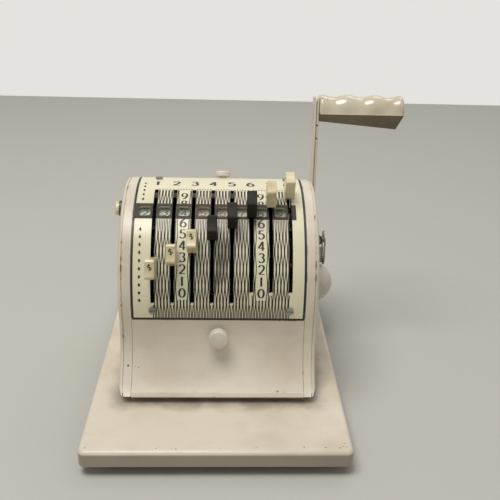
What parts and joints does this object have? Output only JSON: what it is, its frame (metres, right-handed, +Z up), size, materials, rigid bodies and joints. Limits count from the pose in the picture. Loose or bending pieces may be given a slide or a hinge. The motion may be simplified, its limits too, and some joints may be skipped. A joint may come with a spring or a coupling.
{
  "type": "check writer",
  "caption": "Desk check writer: key levers on a curved keyboard set the amount and a side crank lifts the platen to print it through an inked ribbon.",
  "frame": {"origin": "centre of the bounding box at the underside of the feet", "axes": "+X to the right as the user sees it, +Y to the back, +Z up"},
  "size_m": [0.2162, 0.24, 0.1934],
  "materials": {
    "enamel": "satin enamel, grimy",
    "panel_enamel": "satin enamel with printed figures",
    "band": "satin",
    "glass": "clear",
    "bright_steel": "satin",
    "plain_steel": "oiled",
    "dark_steel": "blackened",
    "brass": "satin",
    "black_rubber": "matt",
    "key_cream": "satin",
    "key_dark": "satin",
    "grip_cream": "glossy",
    "ribbon": "inked"
  },
  "bodies": {
    "root": {"base_casting": "enamel", "bottom_plate": "plain_steel", "bottom_plate_screws": "bright_steel", "rubber_feet": "black_rubber", "left_side_frame": "enamel", "right_side_frame": "enamel", "left_side_cover": "enamel", "right_side_cover": "enamel", "side_cover_screws": "enamel", "keyboard_panel": "panel_enamel", "window_bezel": "band", "window_lenses": "glass", "panel_screws": "bright_steel", "front_panel": "enamel", "back_cover": "enamel", "lower_crossbar": "plain_steel", "upper_crossbar": "plain_steel", "selector_shaft": "bright_steel", "shaft_spacers": "brass", "detent_bar": "plain_steel", "detent_springs": "bright_steel", "ribbon_guide_rods": "bright_steel", "ribbon_web": "ribbon", "lid_hinge_pin": "bright_steel", "crank_bushing": "brass", "return_spring": "plain_steel", "crank_stop": "black_rubber"},
    "figure_1": {"selector_1": "plain_steel", "key_1": "key_cream"},
    "figure_2": {"selector_2": "plain_steel", "key_2": "key_cream"},
    "figure_3": {"selector_3": "plain_steel", "key_3": "key_cream"},
    "figure_4": {"selector_4": "plain_steel", "key_4": "key_dark"},
    "figure_5": {"selector_5": "plain_steel", "key_5": "key_dark"},
    "figure_6": {"selector_6": "plain_steel", "key_6": "key_dark"},
    "figure_7": {"selector_7": "plain_steel", "key_7": "key_cream"},
    "figure_8": {"selector_8": "plain_steel", "key_8": "key_cream"},
    "crank": {"crank_shaft": "bright_steel", "crank_arm": "enamel", "hub_cap": "key_cream", "hand_grip": "grip_cream", "latch_plate": "dark_steel"},
    "platen": {"platen_bar": "plain_steel", "platen_pad": "black_rubber"},
    "lid": {"rear_lid": "enamel", "top_knob": "key_cream"},
    "button": {"front_button": "key_cream"},
    "rear_reel": {"rear_spool": "plain_steel", "rear_ribbon_roll": "ribbon", "ribbon_knob": "dark_steel", "ribbon_knob_cap": "key_cream"},
    "front_reel": {"front_spool": "plain_steel", "front_ribbon_roll": "ribbon"}
  },
  "joints": [
    {"name": "selector_1_turn", "type": "hinge", "parent": "root", "child": "figure_1", "pos_m": [-0.06775, 0.013, 0.076], "axis": [-1, 0, 0], "range_deg": [-20.43, 47.67]},
    {"name": "selector_2_turn", "type": "hinge", "parent": "root", "child": "figure_2", "pos_m": [-0.05505, 0.013, 0.076], "axis": [-1, 0, 0], "range_deg": [-27.24, 40.86]},
    {"name": "selector_3_turn", "type": "hinge", "parent": "root", "child": "figure_3", "pos_m": [-0.04235, 0.013, 0.076], "axis": [-1, 0, 0], "range_deg": [-34.05, 34.05]},
    {"name": "selector_4_turn", "type": "hinge", "parent": "root", "child": "figure_4", "pos_m": [-0.02965, 0.013, 0.076], "axis": [-1, 0, 0], "range_deg": [-40.86, 27.24]},
    {"name": "selector_5_turn", "type": "hinge", "parent": "root", "child": "figure_5", "pos_m": [-0.01695, 0.013, 0.076], "axis": [-1, 0, 0], "range_deg": [-47.67, 20.43]},
    {"name": "selector_6_turn", "type": "hinge", "parent": "root", "child": "figure_6", "pos_m": [-0.00425, 0.013, 0.076], "axis": [-1, 0, 0], "range_deg": [-47.67, 13.62]},
    {"name": "selector_7_turn", "type": "hinge", "parent": "root", "child": "figure_7", "pos_m": [0.00845, 0.013, 0.076], "axis": [-1, 0, 0], "range_deg": [-54.48, 6.81]},
    {"name": "selector_8_turn", "type": "hinge", "parent": "root", "child": "figure_8", "pos_m": [0.02115, 0.013, 0.076], "axis": [-1, 0, 0], "range_deg": [-61.29, 0]},
    {"name": "crank_turn", "type": "hinge", "parent": "root", "child": "crank", "pos_m": [0.0429, 0.04, 0.05], "axis": [1, 0, 0], "range_deg": [0, 65], "stiffness_Nm_per_rad": 0.5, "springref_deg": -11.46},
    {"name": "platen_lift", "type": "slide", "parent": "root", "child": "platen", "axis": [0, 0, 1], "range_m": [0, 0.004]},
    {"name": "lid_open", "type": "hinge", "parent": "root", "child": "lid", "pos_m": [-0.0251, 0.07658, 0.1129], "axis": [-1, 0, 0], "range_deg": [0, 95]},
    {"name": "button_press", "type": "slide", "parent": "root", "child": "button", "axis": [0, 0.991, -0.134], "range_m": [0, 0.0025], "stiffness_N_per_m": 400, "springref_m": -0.0005},
    {"name": "rear_reel_turn", "type": "hinge", "parent": "root", "child": "rear_reel", "pos_m": [-0.0251, 0.05184, 0.10505], "axis": [1, 0, 0], "continuous": true},
    {"name": "front_reel_turn", "type": "hinge", "parent": "root", "child": "front_reel", "pos_m": [-0.0251, -0.03538, 0.0382], "axis": [1, 0, 0], "continuous": true}
  ],
  "couplings": [
    {"joint": "platen_lift", "follows": "crank_turn", "m_per_rad": 0.003526},
    {"joint": "front_reel_turn", "follows": "rear_reel_turn", "ratio": 1.125}
  ]
}
